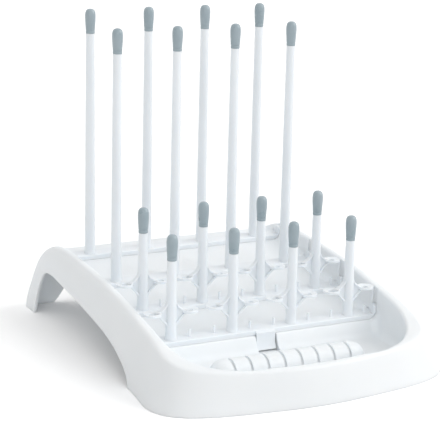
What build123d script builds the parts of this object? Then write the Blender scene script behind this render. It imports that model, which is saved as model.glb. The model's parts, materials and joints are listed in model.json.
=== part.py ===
"""Countertop drying rack for baby bottles.

A thin moulded tray on a flared skirt carries four lift-out strips of upright pegs: two tall
rows at the back and two short rows in front. Every peg ends in a soft cap.

Frame: X across the rack, +Y to the back, +Z up. The origin is on the table, under the middle.
All lengths are in millimetres.
"""
from build123d import *
from math import hypot, radians, tan
import os

# ---- Base: outline, walls and slopes ---------------------------------------------------------
base_depth = 372.0           # nose to rear feet, on the table
foot_half_width = 142.5      # side of the skirt on the table, from the rear feet to the nose
nose_bulge = 4.5             # how far the skirt widens again before the nose corners
wall = 2.5                   # moulded wall
crest_height = 76.0          # highest line of the side walls, at the back
crest_half_width = 131.2     # outside of the side wall at its highest line
nose_height = 36.0           # rim at the middle of the nose
nose_lean = 9.5              # how far the apron leans back from the table to the rim
rim_width = 9.2              # width of the rolled rim
rim_outer_round = 5.0
rim_inner_round = 3.0

# ---- Basin -----------------------------------------------------------------------------------
basin_draft = 1.5            # degrees, lean of the basin's walls
basin_slope = 0.161          # rise of the basin floor per mm towards the back
basin_floor_mid = 40.4       # height of the basin floor above the origin
trough_floor = 14.0          # height of the front trough
step_run = 6.5               # depth of the step between floor and trough
step_clear = 2.0             # floor left in front of the first strip
step_top_round = 2.0
step_foot_round = 10.0
trough_round = 9.0           # between the trough and the basin's walls

# ---- Ribbed ridge in the trough ----------------------------------------------------------------
ridge_radius = 13.0
ridge_y = -114.0
ridge_slots = 8
ridge_slot_pitch = 16.9
ridge_slot_width = 3.0
ridge_slot_depth = 1.7
ridge_end = 4.0              # from the last slot to where the end tapers
ridge_taper = 16.0           # length of each tapered end

# ---- Peg strips --------------------------------------------------------------------------------
front_row_y = -63.3
short_pitch = 63.0           # between the two short rows, and from them to the tall rows
tall_pitch = 67.0            # between the two tall rows
peg_pitch = 62.0             # along a strip
pegs_per_strip = 4
bar_width = 14.0
bar_height = 4.5
bar_round = 1.2
tab_depth = 1.6              # how far an end tab reaches into its groove
tab_width = 8.0
tab_shift = -3.0             # tabs sit forward of the pegs
tab_height = 13.0
tab_thick = 2.4
peg_foot_radius = 5.8
peg_foot_height = 2.0
peg_base_radius = 5.2
peg_top_radius = 4.3
tall_peg = 244.5             # from the bar to the top of the cap
short_peg = 97.2
spigot_radius = 2.7
spigot_length = 17.5

# ---- Soft caps ---------------------------------------------------------------------------------
cap_length = 24.0
cap_radius = 5.2
cap_lip_radius = 4.0
cap_widest = 15.0            # height of the widest place above the lip
cap_bore_depth = 18.5

# ---- Straw rings and wings on the short pegs ------------------------------------------------------
ring_offset = 18.5           # from the peg's axis to the ring's centre
ring_radius = 8.0
ring_hole = 3.3
ring_thick = 2.2
ring_dish = 1.0              # depth of the hollow round the hole
ring_height = 26.0           # top of the ring above the bar
wing_root = 35.0             # where a wing's upper edge leaves its peg, above the bar
wing_foot = 12.0             # where its lower edge leaves the peg
wing_thick = 1.8
wing_rib = 1.5
wing_rib_width = 5.0
straw_pin_radius = 1.2
straw_pin_height = 7.0

# ---- Thumb tab of the front strip -----------------------------------------------------------------
notch_half = 11.0            # notch in the step, for the tab
notch_depth = 6.0
notch_front = 6.6            # how far the notch cuts into the round at the step's foot
thumb_width = 19.6
thumb_thick = 2.2
thumb_lip = 3.0              # how far the tab's foot turns forward
thumb_lift = 1.5             # under the tab, above the trough

# ---- Fits --------------------------------------------------------------------------------------
slide_gap = 0.35             # around everything that lifts out of the base
cap_gap = 0.1                # cap bore around its spigot

# ---- Places worked out from the sizes above --------------------------------------------------------
nose_y = -base_depth / 2
rear_y = base_depth / 2
top_z = 80.0                 # upper construction level, above every wall
low_z = 10.0                 # lower construction level of the basin
draft = tan(radians(basin_draft))
rows = {
    "front_short": (front_row_y, short_peg),
    "rear_short": (front_row_y + short_pitch, short_peg),
    "front_tall": (front_row_y + 2 * short_pitch, tall_peg),
    "rear_tall": (front_row_y + 2 * short_pitch + tall_pitch, tall_peg),
}
STAND = (Align.CENTER, Align.CENTER, Align.MIN)
TOP = (Align.CENTER, Align.CENTER, Align.MAX)
peg_x = [(i - (pegs_per_strip - 1) / 2) * peg_pitch for i in range(pegs_per_strip)]
floor_edge_y = front_row_y - bar_width / 2 - step_clear
basin_half_low = crest_half_width - rim_width - (crest_height - low_z) * draft


def floor_z(y):
    """Height of the sloping basin floor."""
    return basin_floor_mid + basin_slope * y


def basin_half(z):
    """Half-width between the basin's side walls at a height."""
    return basin_half_low + (z - low_z) * draft


def spread(points, distance, start=(0, -1), end=(-1, 0)):
    """Move each point of an open run sideways, to the left of its direction."""
    moved = []
    for i, (x, y) in enumerate(points):
        run = start if i == 0 else end
        if 0 < i < len(points) - 1:
            run = (points[i + 1][0] - points[i - 1][0], points[i + 1][1] - points[i - 1][1])
        length = hypot(*run)
        moved.append((x - distance * run[1] / length, y + distance * run[0] / length))
    return moved


def hoop(z, rear_half, back, nose):
    """Closed outline: straight back and sides, and a curved nose given by its right half."""
    start = nose[0]
    lean = (start[0] - rear_half, start[1] - back)
    right = Spline(*nose, tangents=[lean, (-1, 0)])
    left = mirror(right, Plane.YZ)
    sides = Polyline((-start[0], start[1]), (-rear_half, back), (rear_half, back), start)
    return Plane.XY.offset(z) * make_face(Curve() + [right, left, sides])


def yz_block(outline, half_width):
    """Solid of a closed YZ outline, as wide as asked to both sides."""
    return extrude(Plane.YZ.offset(-half_width) * make_face(outline), 2 * half_width)


def skirt_nose(inset):
    """Right half of the skirt's nose on the table."""
    bulge = foot_half_width + nose_bulge
    points = [
        (foot_half_width, nose_y + 116),
        (bulge - 1.2, nose_y + 75),
        (bulge, nose_y + 48),
        (bulge - 8.5, nose_y + 31),
        (bulge - 30, nose_y + 17),
        (bulge - 84, nose_y + 5.5),
        (0, nose_y),
    ]
    return spread(points, -inset)


def skirt_nose_top(inset):
    """Right half of the skirt's nose, carried on up to the construction level."""
    reach = nose_lean * top_z / nose_height
    half = crest_half_width - 4
    points = [
        (half, nose_y + 116),
        (half - 4.5, nose_y + 82),
        (half - 15, nose_y + 56),
        (half - 33, nose_y + 41),
        (half - 56, nose_y + 31),
        (half - 88, nose_y + reach + 3),
        (0, nose_y + reach),
    ]
    return spread(points, -inset)


def crest_line(inset):
    """Side view of the rim, from the nose over the crest to the rear feet."""
    points = [
        (nose_y - 6, nose_height - 2.5),
        (nose_y + 24, nose_height),
        (nose_y + 47, nose_height + 5),
        (nose_y + 77, nose_height + 14.5),
        (nose_y + 117, crest_height - 17),
        (nose_y + 157, crest_height - 10),
        (nose_y + 217, crest_height - 3),
        (rear_y - 96, crest_height + 0.3),
        (rear_y - 60, crest_height - 0.3),
        (rear_y - 33, crest_height - 9),
        (rear_y - 15.5, crest_height - 26),
        (rear_y - 6, crest_height - 47),
        (rear_y - 1, crest_height - 61),
        (rear_y, 0),
    ]
    return spread(points, -inset, start=(1, 0), end=(0, -1))


def skirt(inset):
    """Solid inside the skirt and under the crest, pulled in by a wall when asked."""
    back = rear_y + wall
    low = hoop(0, foot_half_width - inset, back, skirt_nose(inset))
    high = hoop(top_z, crest_half_width - inset, back, skirt_nose_top(inset))
    crest = crest_line(inset)
    under = Polyline(crest[-1], (crest[-1][0], -1), (crest[0][0], -1), crest[0])
    side_view = yz_block(Curve() + [Spline(*crest), under], 2 * foot_half_width)
    return loft([low, high], ruled=True) & side_view


def crease(block, y):
    """Edge that runs across a block at a place along the rack."""
    return block.edges().filter_by(Axis.X).sort_by(lambda e: abs((e @ 0).Y - y))[0]


def basin(outset):
    """Space over the basin floor, or the outside of its walls when spread by a wall."""
    half = basin_half_low
    nose = [
        (half, nose_y + 90),
        (half - 10.5, nose_y + 49.3),
        (half - 42.4, nose_y + 24.9),
        (half - 82.4, nose_y + 19.2),
        (0, nose_y + 17.4),
    ]
    rise = (top_z - low_z) * draft
    back = rear_y + 2 * wall
    low = hoop(low_z - wall, half + outset - wall * draft, back, spread(nose, outset - wall * draft))
    high = hoop(top_z + wall, half + outset + rise + wall * draft, back,
                spread(nose, outset + rise + wall * draft))
    drop = outset
    trough = trough_floor - drop
    edge_z = floor_z(floor_edge_y) - drop
    step_rise = floor_z(floor_edge_y) - trough_floor
    edge_y = floor_edge_y + drop * (hypot(step_run, step_rise) - step_run) / step_rise
    far = rear_y + 3 * wall
    above_floor = yz_block(Polyline(
        (far, floor_z(far) - drop), (edge_y, edge_z), (edge_y - step_run, trough), (nose_y - wall, trough),
        (nose_y - wall, top_z + 2 * wall), (far, top_z + 2 * wall), close=True), foot_half_width)
    above_floor = fillet(crease(above_floor, edge_y), step_top_round + outset)
    above_floor = fillet(crease(above_floor, edge_y - step_run), step_foot_round - outset)
    room = loft([low, high], ruled=True) & above_floor
    depth = notch_depth + outset
    front = step_run + notch_front
    notch = Pos(0, floor_edge_y + depth / 2 - front / 2, trough) * Box(
        2 * (notch_half + outset), depth + front, edge_z - trough + 2, align=STAND)
    return room + notch


def side_arch():
    """Opening under both sides of the skirt, from the nose to the rear feet."""
    foot_y = nose_y + 105
    over = Spline(
        (foot_y, -1),
        (foot_y + 9, 9),
        (foot_y + 26, 18),
        (foot_y + 55, 27.5),
        (foot_y + 99, 35),
        (foot_y + 147, 41),
        (foot_y + 193, 45.7),
        (foot_y + 213, 47),
        (foot_y + 227, 43.5),
        (foot_y + 235, 31),
        (foot_y + 238.5, 14),
        (foot_y + 239.3, -1),
    )
    return yz_block(Curve() + [over, Line(over @ 1, over @ 0)], foot_half_width + 2 * nose_bulge)


def rear_arch():
    """Opening between the rear feet."""
    reach = foot_half_width - 30
    over = Spline((-reach, -1), (12 - reach, 14), (24 - reach, 34), (48 - reach, 42), (0, 44),
                  (reach - 48, 42), (reach - 24, 34), (reach - 12, 14), (reach, -1))
    face = Plane.XZ * make_face(Curve() + [over, Line(over @ 1, over @ 0)])
    return Pos(0, rear_y + wall, 0) * extrude(face, 60)


def ridge(inset):
    """Round bar with tapered ends whose upper half is the ridge along the trough."""
    radius = ridge_radius - inset
    half = (ridge_slots - 1) * ridge_slot_pitch / 2 + ridge_end
    tip = ridge_taper - inset
    right = EllipticalCenterArc((half, 0), tip, radius)
    left = EllipticalCenterArc((-half, 0), tip, radius, 90)
    side = make_face(Curve() + [right, Line(right @ 1, left @ 0), left, Line(left @ 1, right @ 0)])
    return Pos(0, ridge_y, trough_floor) * revolve(side, Axis.X)


def groove(y):
    """Pair of upright grooves in the basin walls for a strip's end tabs."""
    z = floor_z(y + tab_shift + tab_width / 2 + slide_gap)
    z_low = floor_z(y + tab_shift - tab_width / 2 - slide_gap)
    reach = basin_half(z) + tab_depth + slide_gap
    width = tab_width + 2 * slide_gap
    cut = Box(2 * reach, width, crest_height, align=STAND)
    return Pos(0, y + tab_shift, z_low) * cut


def seat(y):
    """Flat place for a strip's bar, cut into the round corners between floor and walls."""
    reach = bar_width / 2 + slide_gap
    return sloped_bar(basin_half(floor_z(y - bar_width / 2)), 0, crest_height, -reach, reach, y)


def build_base():
    """Tray, skirt, rim, trough and ridge in one thin-walled moulding."""
    block = skirt(0)
    block = fillet(rim_edges(block), rim_outer_round)
    room = basin(0)
    room = fillet(trough_corner(room), trough_round)
    tub = block - room
    rim = [e for e in new_edges(block, room, combined=tub) if (e @ 0.5).Z > nose_height / 2]
    tub = fillet(rim, rim_inner_round)
    body = tub - (skirt(wall) - basin(wall))
    span = Box(2 * foot_half_width, 4 * ridge_radius, 2 * ridge_radius, align=STAND)
    body += ridge(0) & Pos(0, ridge_y, trough_floor - wall / 2) * span
    body -= ridge(wall)
    slot = Box(ridge_slot_width, 4 * ridge_radius, 2 * ridge_radius, align=STAND)
    core = ridge(ridge_slot_depth)
    for i in range(ridge_slots):
        x = (i - (ridge_slots - 1) / 2) * ridge_slot_pitch
        body -= Pos(x, ridge_y, trough_floor) * slot - core
    body = body - side_arch() - rear_arch()
    for y, _ in rows.values():
        body -= groove(y)
        body -= seat(y)
    return body


def trough_corner(room):
    """Edge between the trough and the basin's curved nose."""
    return room.edges().sort_by(lambda e: (e @ 0.5).Y + (e @ 0.5).Z)[0]


def rim_edges(block):
    """Edges between the crest and the outside of the skirt."""
    return [e for e in block.edges() if (e @ 0.5).Z > nose_height / 2 and abs((e @ 0).X - (e @ 1).X) > 1
            or (e @ 0.5).Z > crest_height / 2 + rim_width and abs((e @ 0.5).X) > crest_half_width / 2]


def thumb_tab(y):
    """Tab in front of the bar that hangs down into the notch, to lift the strip by."""
    face = y - bar_width / 2
    high = floor_z(face) + bar_height
    low = trough_floor + thumb_lift
    front = face - thumb_thick
    outline = Polyline(
        (face + bar_round, high - bar_round), (face, high - bar_round / 2), (front, high - thumb_thick),
        (front, low + 2 * thumb_lip), (front - thumb_lip, low), (front - thumb_lip + thumb_thick, low),
        (face, low + thumb_lip), (face, floor_z(face)), (face + bar_round, floor_z(face) + bar_round),
        close=True)
    return yz_block(outline, thumb_width / 2)


def sloped_bar(half_length, low, high, front, back, y):
    """Bar across the rack whose top and bottom follow the basin floor."""
    corners = [(y + front, low), (y + back, low), (y + back, high), (y + front, high)]
    outline = Polyline(*[(v, floor_z(v) + z) for v, z in corners], close=True)
    return extrude(Plane.YZ.offset(-half_length) * make_face(outline), 2 * half_length)


def peg(height):
    """Upright peg with a flared foot, and a spigot for its cap."""
    shoulder = height - cap_length
    side = Polyline(
        (0, -bar_height / 2), (peg_foot_radius, -bar_height / 2), (peg_foot_radius, 0),
        (peg_base_radius, peg_foot_height), (peg_top_radius, shoulder), (spigot_radius, shoulder),
        (spigot_radius, shoulder + spigot_length), (0, shoulder + spigot_length), close=True)
    return revolve(Plane.XZ * make_face(side), Axis.Z)


def wing():
    """Right-hand wing of a short peg: web, upper and lower rib, straw ring and straw pin."""
    top = ring_height
    inner = peg_base_radius - 1
    end = ring_offset
    upper = Spline((inner, wing_root), (inner + 3, wing_root - 5), (inner + 7, top + 1.2), (end, top),
                   tangents=[(0.35, -1), (1, 0)])
    lower = Spline((inner, wing_foot), (inner + 3.5, wing_foot + 4.5), (end, top - ring_thick),
                   tangents=[(0.5, 1), (1, 0.1)])
    outline = Curve() + [upper, Line(upper @ 1, lower @ 1), lower, Line(lower @ 0, upper @ 0)]
    piece = plate(outline, wing_thick)
    for line, shift in ((upper, (-0.3, -wing_rib)), (lower, (-wing_rib, 0.9))):
        twin = line.moved(Location((shift[0], shift[1], 0)))
        rib = Curve() + [line, Line(line @ 1, twin @ 1), twin, Line(twin @ 0, line @ 0)]
        piece += plate(rib, wing_rib_width)
    ring = Cylinder(ring_radius, ring_thick, align=TOP)
    dish = Cone(ring_hole, ring_radius - 1, ring_dish, align=TOP)
    piece += Pos(ring_offset, 0, top) * ring
    piece -= Pos(ring_offset, 0, top) * dish
    piece -= Pos(ring_offset, 0, top) * Cylinder(ring_hole, 2 * wing_root)
    pin = Cylinder(straw_pin_radius, straw_pin_height + bar_height / 2, align=STAND)
    return piece + Pos(ring_offset, 0, -bar_height / 2) * pin


def plate(outline, thickness):
    """Flat plate across a strip, centred on the pegs."""
    return extrude(Plane.XZ.offset(-thickness / 2) * make_face(outline), thickness)


def build_strip(y, height):
    """Bar on the basin floor with its pegs, end tabs and, on short pegs, wings."""
    half = basin_half(floor_z(y - bar_width / 2)) - slide_gap
    strip = sloped_bar(half, 0, bar_height, -bar_width / 2, bar_width / 2, y)
    strip = fillet(strip.edges().filter_by(Axis.X).group_by(Axis.Z)[-2:], bar_round)
    tab_y = y + tab_shift
    for side in (-1, 1):
        top = floor_z(tab_y) + tab_height
        tab = Box(tab_thick + tab_depth, tab_width, tab_height - bar_height / 2, align=TOP)
        tab = fillet(tab.edges().filter_by(Axis.X).group_by(Axis.Z)[-1], tab_width / 2 - slide_gap)
        outer = basin_half(floor_z(tab_y)) + tab_depth
        strip += Pos(side * (outer - (tab_thick + tab_depth) / 2), tab_y, top) * tab
    if y == front_row_y:
        strip += thumb_tab(y)
    post = peg(height)
    if height == short_peg:
        side = wing()
        post = post + side + mirror(side, Plane.YZ)
    base = floor_z(y) + bar_height
    return strip + [Pos(x, y, base) * post for x in peg_x]


def build_cap():
    """Soft cap with a domed top and a blind bore, standing on its lip."""
    side = Spline((cap_lip_radius, 0), (cap_radius, cap_widest), tangents=[(0.1, 1), (0, 1)])
    dome = Spline(side @ 1, (0, cap_length), tangents=[(0, 1), (-1, 0)])
    bore = spigot_radius + cap_gap
    inside = Polyline(dome @ 1, (0, cap_bore_depth), (bore, cap_bore_depth), (bore, 0), side @ 0)
    return revolve(Plane.XZ * make_face(Curve() + [side, dome, inside]), Axis.Z)


os.makedirs("parts", exist_ok=True)
export_step(build_base(), "parts/tray_base.step")
cap = build_cap()
for row, (y, height) in rows.items():
    export_step(build_strip(y, height), f"parts/{row}_strip.step")
    seat = floor_z(y) + bar_height + height - cap_length
    for i, x in enumerate(peg_x):
        export_step(Pos(x, y, seat) * cap, f"parts/{row}_cap_{i + 1}.step")
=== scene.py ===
# %% [markdown]
# # A drying rack for baby bottles
# The rack is a shallow tray of white polypropylene on a flared skirt. Four strips of pegs
# stand in it, and each peg ends in a soft grey tip, so that glass and teats aren't scratched.
# The solids come from the CAD model and fix every size. This lesson dresses them: smooth
# shading, soft tips, plastic and rubber finishes, a floor, lamps and a camera.

# %% Load the solids
import json
import math
import bpy
from mathutils import Matrix, Vector

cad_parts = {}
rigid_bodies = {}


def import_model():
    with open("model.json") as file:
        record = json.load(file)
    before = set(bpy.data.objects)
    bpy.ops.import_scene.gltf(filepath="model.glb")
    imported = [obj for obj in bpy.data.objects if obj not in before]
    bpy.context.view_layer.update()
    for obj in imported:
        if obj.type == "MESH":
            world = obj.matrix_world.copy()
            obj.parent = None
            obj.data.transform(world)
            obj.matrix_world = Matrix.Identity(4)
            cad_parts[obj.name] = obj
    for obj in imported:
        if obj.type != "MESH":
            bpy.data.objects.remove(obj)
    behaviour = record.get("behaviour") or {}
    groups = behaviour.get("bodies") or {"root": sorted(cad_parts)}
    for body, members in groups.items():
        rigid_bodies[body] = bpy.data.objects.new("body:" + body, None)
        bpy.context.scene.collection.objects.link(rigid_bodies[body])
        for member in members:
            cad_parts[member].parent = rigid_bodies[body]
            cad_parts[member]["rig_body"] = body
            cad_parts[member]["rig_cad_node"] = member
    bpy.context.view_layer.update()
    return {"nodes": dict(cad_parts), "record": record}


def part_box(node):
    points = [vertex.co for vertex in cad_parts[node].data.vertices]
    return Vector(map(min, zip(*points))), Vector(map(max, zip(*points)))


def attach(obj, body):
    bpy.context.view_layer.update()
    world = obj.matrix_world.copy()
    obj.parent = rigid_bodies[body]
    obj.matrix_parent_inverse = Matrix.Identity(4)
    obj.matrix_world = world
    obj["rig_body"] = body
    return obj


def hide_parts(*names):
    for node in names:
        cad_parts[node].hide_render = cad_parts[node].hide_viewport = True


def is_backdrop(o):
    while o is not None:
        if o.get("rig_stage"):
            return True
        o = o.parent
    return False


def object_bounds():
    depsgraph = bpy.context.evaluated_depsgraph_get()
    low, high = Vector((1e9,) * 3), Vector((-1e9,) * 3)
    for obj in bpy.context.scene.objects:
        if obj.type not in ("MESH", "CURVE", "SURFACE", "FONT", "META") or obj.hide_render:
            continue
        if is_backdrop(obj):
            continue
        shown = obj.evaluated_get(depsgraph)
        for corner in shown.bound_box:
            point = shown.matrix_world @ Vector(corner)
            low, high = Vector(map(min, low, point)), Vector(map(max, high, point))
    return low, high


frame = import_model()
solids = frame["nodes"]
strips = sorted(node for node in solids if node.endswith("_strip"))
caps = sorted(node for node in solids if "_cap_" in node)
MM = 0.001

# %% [markdown]
# ## Two helpers for working by hand
# Operators act on whatever is selected, so each step starts from a clean selection. `pick`
# selects one object and makes it the active one, as a click in the viewport does. The table
# `body_of_node` names the rigid body of each solid, so that its dressed copy can ride on it.


# %% Selecting and finding bodies
def pick(obj):
    bpy.ops.object.select_all(action="DESELECT")
    obj.select_set(True)
    bpy.context.view_layer.objects.active = obj


bodies = frame["record"]["behaviour"]["bodies"]
body_of_node = {node: body for body, members in bodies.items() for node in members}
print("bodies:", sorted(bodies))

# %% [markdown]
# ## Parts of a material
# Every finish here is built from the same few nodes, so each of them gets a short helper:
# a noise field, a ramp that turns its values into a colour, a range that turns them into a
# number such as the roughness, and a bump that turns them into relief. The scale of a noise
# counts its waves per metre, because Object coordinates are in metres.

# %% Node helpers
COLOUR_BAND = (0.3, 0.7)              # nearly all values of a noise field lie between these


def new_material(name):
    material = bpy.data.materials.new(name)
    material.use_nodes = True
    tree = material.node_tree
    return material, tree.nodes, tree.links, tree.nodes["Principled BSDF"]


def noise(nodes, links, where, scale, detail, rough=0.5):
    field = nodes.new("ShaderNodeTexNoise")
    field.inputs["Scale"].default_value = scale
    field.inputs["Detail"].default_value = detail
    field.inputs["Roughness"].default_value = rough
    links.new(where, field.inputs["Vector"])
    return field.outputs["Fac"]


def ramp(nodes, links, factor, low, high):
    band = nodes.new("ShaderNodeValToRGB")
    for stop, place, colour in zip(band.color_ramp.elements, COLOUR_BAND, (low, high)):
        stop.position = place
        stop.color = (*colour, 1.0)
    links.new(factor, band.inputs["Fac"])
    return band.outputs["Color"]


def spread_to(nodes, links, factor, low, high):
    span = nodes.new("ShaderNodeMapRange")
    span.inputs["To Min"].default_value = low
    span.inputs["To Max"].default_value = high
    links.new(factor, span.inputs["Value"])
    return span.outputs["Result"]


def bump(nodes, links, height, depth, strength):
    relief = nodes.new("ShaderNodeBump")
    relief.inputs["Distance"].default_value = depth
    relief.inputs["Strength"].default_value = strength
    links.new(height, relief.inputs["Height"])
    return relief.outputs["Normal"]


print("helpers:", [f.__name__ for f in (new_material, noise, ramp, spread_to, bump)])

# %% [markdown]
# ## White polypropylene
# Moulded polypropylene is never one flat white. The steel mould leaves a fine satin texture,
# the flow of the melt leaves slow waves in the gloss, and thick and thin places look a little
# cooler or warmer. Slow noise steers the colour and the roughness, and fine noise makes a
# bump. Object coordinates keep the pattern still on the piece when it is lifted out.
#
# Some light also enters the plastic and leaves it again nearby, which softens the shade in
# hollows. Subsurface scattering does that. The broad tray takes a deeper glow than the thin
# pegs, because a glow as deep as a peg is thick would wipe out its round shading.

# %% Moulded white
FLOW_WAVES, FLOW_DETAIL = 14.0, 3.0
GRAIN_WAVES, GRAIN_DETAIL, GRAIN_ROUGH = 1400.0, 2.0, 0.6
GRAIN_DEPTH, GRAIN_STRENGTH = 0.05 * MM, 0.25
POLYPROPYLENE_IOR = 1.49
GLOW = 0.6                            # share of the light that goes under the surface
GLOW_REACH = (0.9, 0.95, 1.0)         # of red, green and blue, as shares of the depth


def moulded_white(name, cool, warm, satin, depth):
    material, nodes, links, shader = new_material(name)
    where = nodes.new("ShaderNodeTexCoord").outputs["Object"]
    flow = noise(nodes, links, where, FLOW_WAVES, FLOW_DETAIL)
    grain = noise(nodes, links, where, GRAIN_WAVES, GRAIN_DETAIL, GRAIN_ROUGH)
    relief = bump(nodes, links, grain, GRAIN_DEPTH, GRAIN_STRENGTH)
    links.new(ramp(nodes, links, flow, cool, warm), shader.inputs["Base Color"])
    links.new(spread_to(nodes, links, flow, *satin), shader.inputs["Roughness"])
    links.new(relief, shader.inputs["Normal"])
    shader.inputs["IOR"].default_value = POLYPROPYLENE_IOR
    shader.inputs["Subsurface Weight"].default_value = GLOW
    shader.inputs["Subsurface Radius"].default_value = GLOW_REACH
    shader.inputs["Subsurface Scale"].default_value = depth
    return material


tray_white = moulded_white("tray_white", cool=(0.83, 0.87, 0.90), warm=(0.855, 0.89, 0.917),
                           satin=(0.34, 0.46), depth=5.5 * MM)
peg_white = moulded_white("peg_white", cool=(0.79, 0.823, 0.852), warm=(0.83, 0.86, 0.885),
                          satin=(0.26, 0.38), depth=1.2 * MM)
print("finishes:", tray_white.name, peg_white.name)

# %% [markdown]
# ## Soft rubber
# The tips are a thermoplastic rubber with a smooth skin. Handling polishes it in patches, so
# slow noise steers both the grey and the roughness, and the fine grain is only just there.

# %% Tip rubber
PATCH_WAVES, PATCH_DETAIL = 60.0, 3.0
SKIN_WAVES, SKIN_DETAIL, SKIN_ROUGH = 2200.0, 3.0, 0.65
SKIN_DEPTH, SKIN_STRENGTH = 0.03 * MM, 0.15
DEEP_GREY, PALE_GREY = (0.28, 0.35, 0.385), (0.33, 0.395, 0.43)
RUBBER_GLOSS = (0.22, 0.36)           # roughness of the polished and of the dull patches
RUBBER_SHINE = 0.6                    # a little over the shader's usual 0.5


def soft_rubber(name):
    material, nodes, links, shader = new_material(name)
    where = nodes.new("ShaderNodeTexCoord").outputs["Object"]
    patches = noise(nodes, links, where, PATCH_WAVES, PATCH_DETAIL)
    skin = noise(nodes, links, where, SKIN_WAVES, SKIN_DETAIL, SKIN_ROUGH)
    relief = bump(nodes, links, skin, SKIN_DEPTH, SKIN_STRENGTH)
    links.new(ramp(nodes, links, patches, DEEP_GREY, PALE_GREY), shader.inputs["Base Color"])
    links.new(spread_to(nodes, links, patches, *RUBBER_GLOSS), shader.inputs["Roughness"])
    links.new(relief, shader.inputs["Normal"])
    shader.inputs["Specular IOR Level"].default_value = RUBBER_SHINE
    return material


soft_tip = soft_rubber("soft_tip")
print("finish:", soft_tip.name)

# %% [markdown]
# ## Tray and strips
# A solid from the CAD model arrives as loose triangles. A copy with its doubles merged can be
# shaded smooth: faces that meet at a small angle blend into one another, and real edges stay
# crisp. The copy then stands in for the solid, which stays in place for collision.

# %% Smooth copies of the solids
SOLID_WELD = 0.005 * MM               # corners closer than this become one
CRISP_ANGLE = math.radians(32)        # an edge between faces that turn by more stays crisp


def smooth_copy(node, name, material):
    source = solids[node]
    copy = source.copy()
    copy.data = source.data.copy()
    copy.name = copy.data.name = name
    copy.parent = None
    # These marks make an object a solid of the frame, and the copy isn't one.
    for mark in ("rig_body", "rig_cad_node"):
        if mark in copy:
            del copy[mark]
    bpy.context.scene.collection.objects.link(copy)
    pick(copy)
    bpy.ops.object.mode_set(mode="EDIT")
    bpy.ops.mesh.select_all(action="SELECT")
    bpy.ops.mesh.remove_doubles(threshold=SOLID_WELD)
    bpy.ops.mesh.customdata_custom_splitnormals_clear()
    bpy.ops.object.mode_set(mode="OBJECT")
    bpy.ops.object.shade_smooth_by_angle(angle=CRISP_ANGLE)
    copy.data.materials.clear()
    copy.data.materials.append(material)
    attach(copy, body_of_node[node])
    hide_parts(node)
    return copy


tray = smooth_copy("tray_base", "tray_shell", tray_white)
print(tray.name, len(tray.data.polygons), "faces")
for node in strips:
    strip = smooth_copy(node, node.replace("_strip", "_rail"), peg_white)
    print(strip.name, len(strip.data.polygons), "faces")

# %% [markdown]
# ## Soft tips
# A tip is a small turned shape: narrow at its lip, widest near the top, and domed. The lip is
# rolled a little, and a fine groove above it parts a narrow collar from the rest of the tip.
# Half of the outline is a table of shares of the tip's radius and height, so one table fits a
# tip of any size. It starts inside, at the end of the bore that the peg's spigot fills.

# %% Outline of a tip
BORE = 2.8 * MM
# From the end of the bore down to its mouth: share of the bore, share of the tip's height.
BORE_SHAPE = [(0.0, 0.78), (0.88, 0.78), (1.0, 0.765), (1.0, 0.012), (1.08, 0.0)]
# From the lip up to the dome: share of the tip's radius, share of its height.
LIP = [(0.80, 0.0), (0.835, 0.01), (0.85, 0.035), (0.855, 0.085)]
GROOVE = [(0.845, 0.098), (0.82, 0.104), (0.82, 0.116), (0.855, 0.124)]
SIDE = [(0.885, 0.22), (0.935, 0.38), (0.975, 0.52), (0.995, 0.63), (1.0, 0.70), (0.98, 0.78)]
DOME = [(0.92, 0.86), (0.78, 0.93), (0.54, 0.977), (0.27, 0.995), (0.0, 1.0)]


def tip_outline(width, height):
    """Half outline of a tip, as pairs of radius and height."""
    inside = [(x * BORE, z * height) for x, z in BORE_SHAPE]
    outside = [(x * width, z * height) for x, z in LIP + GROOVE + SIDE + DOME]
    return inside + outside


low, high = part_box(caps[0])
outline = tip_outline((high.x - low.x) / 2, high.z - low.z)
print("outline:", len(outline), "points for a tip", round(high.z - low.z, 4), "m high")

# %% [markdown]
# ## Turning a tip
# A tiny plane merged to one point gives the first corner. Each extrude draws the next edge of
# the outline, and a spin through a full turn makes the skin. Then the seam and the two poles
# are closed by merging doubles, and the normals are made consistent, because a spin can turn
# a shape inside out.

# %% One tip, turned like a lathe part
SPIN_STEPS = 40
SPIN_WELD = 0.01 * MM


def turned(name, outline):
    bpy.ops.object.select_all(action="DESELECT")
    bpy.ops.mesh.primitive_plane_add(size=MM)
    piece = bpy.context.object
    piece.name = piece.data.name = name
    bpy.ops.object.mode_set(mode="EDIT")
    bpy.ops.mesh.select_all(action="SELECT")
    bpy.ops.mesh.merge(type="CENTER")
    corners = [Vector((radius, 0, height)) for radius, height in outline]
    bpy.ops.transform.translate(value=corners[0])
    for here, there in zip(corners, corners[1:]):
        bpy.ops.mesh.extrude_region_move(TRANSFORM_OT_translate={"value": there - here})
    bpy.ops.mesh.select_all(action="SELECT")
    bpy.ops.mesh.spin(steps=SPIN_STEPS, angle=2 * math.pi, center=(0, 0, 0), axis=(0, 0, 1))
    bpy.ops.mesh.select_all(action="SELECT")
    bpy.ops.mesh.remove_doubles(threshold=SPIN_WELD)
    bpy.ops.mesh.normals_make_consistent(inside=False)
    bpy.ops.object.mode_set(mode="OBJECT")
    bpy.ops.object.shade_smooth()
    return piece


first_tip = turned("tip_model", outline)
print("tip:", len(first_tip.data.polygons), "faces")

# %% [markdown]
# ## Sixteen tips from one
# All the tips are alike, so one is modelled and copied. Each copy has a mesh of its own,
# which is moved to its peg, while the copy's object stays at the origin.

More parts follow.
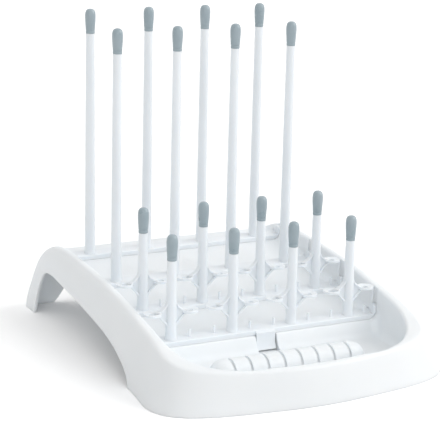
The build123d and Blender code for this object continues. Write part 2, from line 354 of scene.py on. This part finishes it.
# %% Sixteen tips
for node in caps:
    low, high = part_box(node)
    tip = first_tip.copy()
    tip.data = first_tip.data.copy()
    tip.name = tip.data.name = node.replace("_cap_", "_tip_")
    bpy.context.scene.collection.objects.link(tip)
    tip.data.transform(Matrix.Translation(((low.x + high.x) / 2, (low.y + high.y) / 2, low.z)))
    tip.data.materials.append(soft_tip)
    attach(tip, body_of_node[node])
    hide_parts(node)
bpy.data.objects.remove(first_tip)
print(len(caps), "tips placed")

# %% [markdown]
# ## Who looks at the background
# A background may be brighter for the camera than it is for the rack. The Light Path node
# tells which kind of ray asks for a colour. The eye itself, a mirror image and a view through
# clear plastic all show the background, so those three kinds of ray are put together.


# %% Rays that show the background
def showing_rays(nodes, links):
    path = nodes.new("ShaderNodeLightPath")
    seen = path.outputs["Is Camera Ray"]
    for kind in ("Is Glossy Ray", "Is Transmission Ray"):
        either = nodes.new("ShaderNodeMath")
        either.operation = "MAXIMUM"
        links.new(seen, either.inputs[0])
        links.new(path.outputs[kind], either.inputs[1])
        seen = either.outputs["Value"]
    return seen


print("helper:", showing_rays.__name__)

# %% [markdown]
# ## Floor
# The rack stands on plain white paper: one wide plane that takes the soft shadow. To whoever
# looks at it, the paper is a little brighter than the paper that lights the rack, as if it were
# lit by itself, so it fades into white all round and only the shadow is left.

# %% A pale floor that keeps its shadow
PAPER = 0.84
BRIGHT_PAPER = 1.12
PAPER_WIDTH = 40.0


def paper(name):
    material, nodes, links, shader = new_material(name)
    shader.inputs["Roughness"].default_value = 1.0
    shader.inputs["Specular IOR Level"].default_value = 0.0
    level = spread_to(nodes, links, showing_rays(nodes, links), PAPER, BRIGHT_PAPER)
    links.new(level, shader.inputs["Base Color"])
    return material


bpy.ops.object.select_all(action="DESELECT")
bpy.ops.mesh.primitive_plane_add(size=PAPER_WIDTH, location=(0, 0, 0))
floor = bpy.context.object
floor.name = "paper_floor"
floor.data.materials.append(paper("paper_floor"))
floor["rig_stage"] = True
print("floor:", floor.dimensions.x, "m wide")

# %% [markdown]
# ## Light
# A white object needs soft light with a clear direction, or its shape is lost. The key light
# stands on the right, so that each peg runs from a grey left flank to a bright right one and
# the rack's shadow falls to the left. A weaker light in front lifts the apron, and one from
# above the back lifts the basin floor. All three are suns with a very wide disc: a sun lights
# near and far alike, so the paper stays even.

# %% Lamps
# Name, direction from the rack to the lamp, width of its disc in degrees, strength.
LAMPS = [
    ("key_light", (1.0, -0.5, 0.8), 50, 1.35),
    ("front_light", (-0.4, -1.0, 0.4), 50, 0.5),
    ("top_light", (-0.1, 0.4, 1.0), 70, 0.35),
]
for name, towards, disc, strength in LAMPS:
    bpy.ops.object.light_add(type="SUN", location=towards)
    lamp = bpy.context.object
    lamp.name = name
    lamp.data.angle = math.radians(disc)
    lamp.data.energy = strength
    lamp.rotation_mode = "QUATERNION"
    lamp.rotation_quaternion = (-Vector(towards)).to_track_quat("-Z", "Y")
    print(lamp.name, strength)

# %% [markdown]
# ## Room
# The world stands for the white walls of the room. They send less light to the rack than
# they show to whoever looks at them, so that the lamps can still shape it.

# %% World
ROOM_LIGHT = 0.65
SHOWN_WHITE = 1.0

world = bpy.data.worlds.new("white_room")
bpy.context.scene.world = world
world.use_nodes = True
room = world.node_tree
background = room.nodes["Background"]
seen = showing_rays(room.nodes, room.links)
walls = spread_to(room.nodes, room.links, seen, ROOM_LIGHT, SHOWN_WHITE)
room.links.new(walls, background.inputs["Strength"])
background.inputs["Color"].default_value = (1.0, 1.0, 1.0, 1.0)
print("world:", world.name)

# %% [markdown]
# ## Camera
# A long lens from the front left, a little above the pegs' middle. Pitch makes upright pegs
# spread towards the top, and a small roll tilts the whole picture, as a hand-held camera does.
# The camera's turn is put together from three directions: right, up and backwards.

# %% Camera
YAW, PITCH, ROLL = math.radians(27.18), math.radians(13.95), math.radians(1.32)
EYE = Vector((-0.6568, -1.2536, 0.4808))
LENS, SENSOR = 125.4, 36.0            # both in millimetres

forward = Vector((math.sin(YAW) * math.cos(PITCH), math.cos(YAW) * math.cos(PITCH),
                  -math.sin(PITCH)))
level_right = Vector((math.cos(YAW), -math.sin(YAW), 0))
level_up = level_right.cross(forward)
right = math.cos(ROLL) * level_right + math.sin(ROLL) * level_up
up = -math.sin(ROLL) * level_right + math.cos(ROLL) * level_up
turn = Matrix((right, up, -forward)).transposed()

bpy.ops.object.camera_add()
camera = bpy.context.object
camera.matrix_world = Matrix.Translation(EYE) @ turn.to_4x4()
camera.data.sensor_width = SENSOR
camera.data.lens = LENS
bpy.context.scene.camera = camera
bpy.context.scene.view_settings.view_transform = "Standard"
print("camera at", [round(v, 3) for v in camera.location])

# %% [markdown]
# ## Size of the dressed rack
# The dressed rack should stay in the box of its solids. Its own box, without the floor, is
# measured here.

# %% Finish
low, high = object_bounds()
